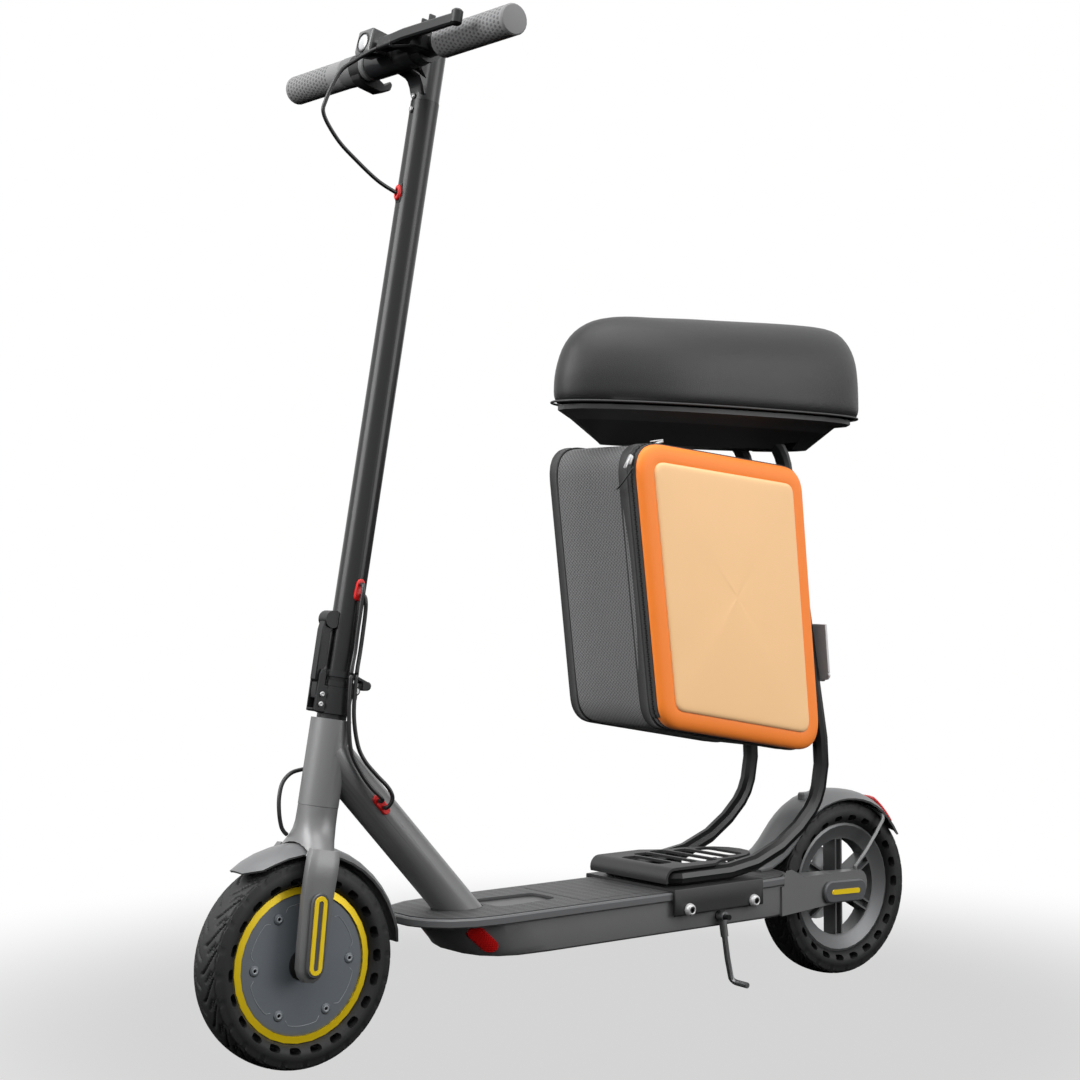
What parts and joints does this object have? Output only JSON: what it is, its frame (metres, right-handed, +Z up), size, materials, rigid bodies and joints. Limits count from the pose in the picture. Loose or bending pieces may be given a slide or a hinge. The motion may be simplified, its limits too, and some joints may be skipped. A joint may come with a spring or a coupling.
{
  "type": "electric scooter",
  "caption": "Folding electric kick scooter with a raked stem, solid honeycomb tyres, a front hub motor, a bolted-on seat and a zipped side bag under the seat.",
  "frame": {"origin": "middle of the footprint box at the ground, under the middle of the whole scooter", "axes": "+X forward, the way it rides, +Y to the rider's left, +Z up"},
  "size_m": [0.999, 0.43, 1.102],
  "materials": {
    "frame_paint": "satin gunmetal grey paint over a fine grain",
    "deck_rubber": "matte moulded rubber with short raised dashes",
    "trim_plastic": "satin dark grey bumper moulding",
    "cover_plastic": "satin black plastic",
    "battery_wrap": "blue heat-shrink wrap",
    "controller_case": "bead-blasted aluminium",
    "reflector": "red prism reflector",
    "tyre_rubber": "matte black solid honeycomb tyre",
    "motor_case": "yellow painted rim over a satin grey motor case",
    "hub_cover": "satin blue-grey cover",
    "rim_paint": "satin gunmetal grey paint",
    "steel": "plain brushed steel",
    "tail_lens": "red lens",
    "cast_alloy": "cast aluminium",
    "gunmetal_plastic": "satin dark grey plastic",
    "grommet_red": "red rubber",
    "stem_paint": "satin black paint",
    "bearing_steel": "ground steel",
    "black_alloy": "satin black coated alloy",
    "grip_rubber": "soft black rubber with a dashed pattern",
    "button_plastic": "satin black button",
    "lamp_case": "black lamp case with a pale lens",
    "grey_plastic": "smooth grey plastic",
    "cable_jacket": "black cable jacket",
    "seat_steel": "satin black painted tube",
    "seat_plate": "satin dark grey plate",
    "pan_plastic": "grained black plastic",
    "vinyl": "smooth black vinyl with a soft sheen",
    "bag_mesh": "dark grey woven mesh",
    "lid_orange": "orange moulded fabric panel with a paler raised field",
    "bracket_silver": "brushed silver plate",
    "cover_two_tone": "grey plastic with a yellow band"
  },
  "bodies": {
    "frame": {"chassis": "frame_paint", "bottom_cover": "cover_plastic", "battery_pack": "battery_wrap", "controller": "controller_case", "edge_trim": "trim_plastic", "deck_mat": "deck_rubber", "side_reflector_left": "reflector", "side_reflector_right": "reflector", "arm_cover_left": "gunmetal_plastic", "arm_cover_right": "gunmetal_plastic", "rear_axle": "steel", "brake_caliper": "cast_alloy", "rear_fender": "gunmetal_plastic", "tail_light": "tail_lens", "fender_stay": "steel", "kickstand_bracket": "stem_paint", "neck_tube": "frame_paint", "neck_grommet": "grommet_red", "seat_saddle": "seat_plate", "seat_base_plate": "seat_plate", "seat_frame": "seat_steel", "seat_pan": "pan_plastic", "seat_cushion": "vinyl", "bag_shell": "bag_mesh", "bag_bracket": "bracket_silver"},
    "steering": {"lower_bearing": "bearing_steel", "fork": "frame_paint", "fork_cover_left": "cover_two_tone", "fork_cover_right": "cover_two_tone", "front_axle": "steel", "front_fender": "gunmetal_plastic", "folding_base": "black_alloy", "hinge_pin": "steel", "cable_a": "cable_jacket", "cable_b": "cable_jacket", "motor_cable": "cable_jacket"},
    "stem": {"stem_tube": "stem_paint", "stem_grommet": "grommet_red", "stem_head": "black_alloy", "handlebar": "stem_paint", "grip_left": "grip_rubber", "grip_right": "grip_rubber", "brake_perch": "black_alloy", "headlight": "lamp_case", "throttle_housing": "grey_plastic", "brake_cable": "cable_jacket"},
    "lock_ring": {"lock_ring": "black_alloy"},
    "fold_lever": {"fold_lever": "black_alloy"},
    "brake_lever": {"brake_lever": "black_alloy"},
    "throttle": {"throttle_lever": "cover_plastic"},
    "bell": {"bell_lever": "black_alloy"},
    "power_button": {"power_button": "button_plastic"},
    "front_wheel": {"front_tyre": "tyre_rubber", "front_hub_motor": "motor_case", "front_hub_cover": "hub_cover"},
    "rear_wheel": {"rear_tyre": "tyre_rubber", "rear_rim": "rim_paint", "rear_brake_disc": "steel"},
    "kickstand": {"kickstand": "cast_alloy"},
    "bag_lid": {"bag_lid": "lid_orange"}
  },
  "joints": [
    {"name": "steering_turn", "type": "hinge", "parent": "frame", "child": "steering", "pos_m": [0.35705, 0, 0.30501], "axis": [-0.1723, 0, 0.985], "range_deg": [-60, 60], "deforming": ["motor_cable"]},
    {"name": "stem_fold", "type": "hinge", "parent": "steering", "child": "stem", "pos_m": [0.32345, 0, 0.3839], "axis": [0, -1, 0], "range_deg": [0, 22], "deforming": ["cable_a", "cable_b"]},
    {"name": "lock_ring_turn", "type": "hinge", "parent": "stem", "child": "lock_ring", "pos_m": [0.34042, 0, 0.40007], "axis": [-0.1723, 0, 0.985], "range_deg": [-25, 25]},
    {"name": "fold_lever_swing", "type": "hinge", "parent": "steering", "child": "fold_lever", "pos_m": [0.36556, 0, 0.38284], "axis": [0, 1, 0], "range_deg": [0, 100]},
    {"name": "brake_lever_pull", "type": "hinge", "parent": "stem", "child": "brake_lever", "pos_m": [0.29513, 0.052, 1.07699], "axis": [-0.1723, 0, 0.985], "range_deg": [0, 6.5], "stiffness_Nm_per_rad": 6, "springref_deg": -8.59},
    {"name": "throttle_turn", "type": "hinge", "parent": "stem", "child": "throttle", "pos_m": [0.26646, -0.088, 1.07197], "axis": [0, -1, 0], "range_deg": [0, 30], "stiffness_Nm_per_rad": 0.5, "springref_deg": -17.19},
    {"name": "bell_turn", "type": "hinge", "parent": "stem", "child": "bell", "pos_m": [0.27001, 0.0545, 1.0929], "axis": [-0.1723, 0, 0.985], "range_deg": [-25, 25], "stiffness_Nm_per_rad": 0.08},
    {"name": "power_button_press", "type": "slide", "parent": "stem", "child": "power_button", "axis": [0.1723, 0, -0.985], "range_m": [0, 0.0012], "stiffness_N_per_m": 400, "springref_m": -0.001},
    {"name": "front_wheel_spin", "type": "hinge", "parent": "steering", "child": "front_wheel", "pos_m": [0.3915, 0, 0.108], "axis": [0, 1, 0], "continuous": true},
    {"name": "rear_wheel_spin", "type": "hinge", "parent": "frame", "child": "rear_wheel", "pos_m": [-0.3915, 0, 0.108], "axis": [0, 1, 0], "continuous": true},
    {"name": "kickstand_swing", "type": "hinge", "parent": "frame", "child": "kickstand", "pos_m": [-0.1315, 0.0799, 0.1085], "axis": [0, 1, 0], "range_deg": [0, 73]},
    {"name": "bag_lid_swing", "type": "hinge", "parent": "frame", "child": "bag_lid", "pos_m": [-0.166, 0.071, 0.308], "axis": [-0.9841, 0, -0.1779], "range_deg": [0, 105]}
  ]
}
